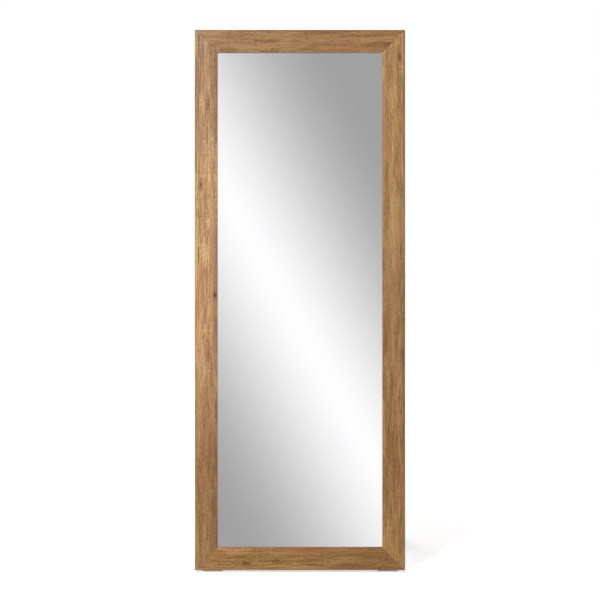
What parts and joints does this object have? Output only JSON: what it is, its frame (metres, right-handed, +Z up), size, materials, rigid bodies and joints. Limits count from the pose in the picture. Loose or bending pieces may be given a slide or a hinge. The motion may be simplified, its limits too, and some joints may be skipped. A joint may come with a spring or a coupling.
{
  "type": "full-length floor mirror",
  "caption": "Full-length rectangular floor mirror in a plain mitred wood-look frame, leaning on a fold-out easel behind it.",
  "frame": {"origin": "on the floor, under the middle of the object's box", "axes": "+X to the right of someone looking into the mirror, +Y towards the easel behind it (the mirror faces -Y), +Z up"},
  "size_m": [0.648, 0.4198, 1.6485],
  "materials": {
    "oak_moulding": "satin printed oak foil over moulded wood, grain along each rail",
    "mirror_plate": "flat silvered glass, polished edges",
    "cushion_foam": "closed-cell foam sheet",
    "backing_hardboard": "brown hardboard, matte",
    "easel_wood": "stained solid wood, satin",
    "zinc_steel": "bright zinc plate on pressed steel",
    "rubber": "matte black rubber",
    "clear_rubber": "clear frosted silicone rubber"
  },
  "bodies": {
    "mirror_panel": {"top_rail": "oak_moulding", "bottom_rail": "oak_moulding", "left_stile": "oak_moulding", "right_stile": "oak_moulding", "mirror_glass": "mirror_plate", "foam_cushion": "cushion_foam", "backing_board": "backing_hardboard", "corner_brace_top_left": "zinc_steel", "corner_brace_top_right": "zinc_steel", "corner_brace_bottom_left": "zinc_steel", "corner_brace_bottom_right": "zinc_steel", "backing_clip_left_lower": "zinc_steel", "backing_clip_left_lower_screw": "zinc_steel", "backing_clip_left_upper": "zinc_steel", "backing_clip_left_upper_screw": "zinc_steel", "backing_clip_right_lower": "zinc_steel", "backing_clip_right_lower_screw": "zinc_steel", "backing_clip_right_upper": "zinc_steel", "backing_clip_right_upper_screw": "zinc_steel", "backing_clip_bottom": "zinc_steel", "backing_clip_bottom_screw": "zinc_steel", "backing_clip_top": "zinc_steel", "backing_clip_top_screw": "zinc_steel", "hanger_strap_left": "zinc_steel", "hanger_strap_left_screw": "zinc_steel", "floor_pad_left": "clear_rubber", "pivot_bracket_left": "zinc_steel", "stay_track_left": "zinc_steel", "pivot_bracket_left_screw_lower": "zinc_steel", "stay_track_left_screw_lower": "zinc_steel", "pivot_bracket_left_screw_upper": "zinc_steel", "stay_track_left_screw_upper": "zinc_steel", "hanger_strap_right": "zinc_steel", "hanger_strap_right_screw": "zinc_steel", "floor_pad_right": "clear_rubber", "pivot_bracket_right": "zinc_steel", "stay_track_right": "zinc_steel", "pivot_bracket_right_screw_lower": "zinc_steel", "stay_track_right_screw_lower": "zinc_steel", "pivot_bracket_right_screw_upper": "zinc_steel", "stay_track_right_screw_upper": "zinc_steel"},
    "easel": {"easel_leg_left": "easel_wood", "easel_foot_left": "rubber", "pivot_bolt_left": "zinc_steel", "pivot_nut_left": "zinc_steel", "pivot_washer_left": "zinc_steel", "stay_pivot_screw_left": "zinc_steel", "easel_leg_right": "easel_wood", "easel_foot_right": "rubber", "pivot_bolt_right": "zinc_steel", "pivot_nut_right": "zinc_steel", "pivot_washer_right": "zinc_steel", "stay_pivot_screw_right": "zinc_steel", "easel_cross_bar_upper": "easel_wood", "easel_cross_bar_lower": "easel_wood"},
    "stay_left": {"stay_arm_left": "zinc_steel"},
    "ring_left": {"hanger_ring_left": "zinc_steel"},
    "stay_right": {"stay_arm_right": "zinc_steel"},
    "ring_right": {"hanger_ring_right": "zinc_steel"}
  },
  "joints": [
    {"name": "easel_fold", "type": "hinge", "parent": "mirror_panel", "child": "easel", "pos_m": [0, 0.01301, 1.18569], "axis": [-1, 0, 0], "range_deg": [0, 18]},
    {"name": "stay_fold_left", "type": "hinge", "parent": "easel", "child": "stay_left", "pos_m": [-0.2875, 0.07559, 0.79062], "axis": [-1, 0, 0], "range_deg": [-36, 0]},
    {"name": "stay_fold_right", "type": "hinge", "parent": "easel", "child": "stay_right", "pos_m": [0.2875, 0.07559, 0.79062], "axis": [-1, 0, 0], "range_deg": [-36, 0]},
    {"name": "ring_swing_left", "type": "hinge", "parent": "mirror_panel", "child": "ring_left", "pos_m": [-0.2925, 0.04264, 1.43412], "axis": [1, 0, 0], "range_deg": [-5, 172]},
    {"name": "ring_swing_right", "type": "hinge", "parent": "mirror_panel", "child": "ring_right", "pos_m": [0.2925, 0.04264, 1.43412], "axis": [1, 0, 0], "range_deg": [-5, 172]}
  ],
  "couplings": [
    {"joint": "stay_fold_left", "follows": "easel_fold", "ratio": -2},
    {"joint": "stay_fold_right", "follows": "easel_fold", "ratio": -2}
  ]
}
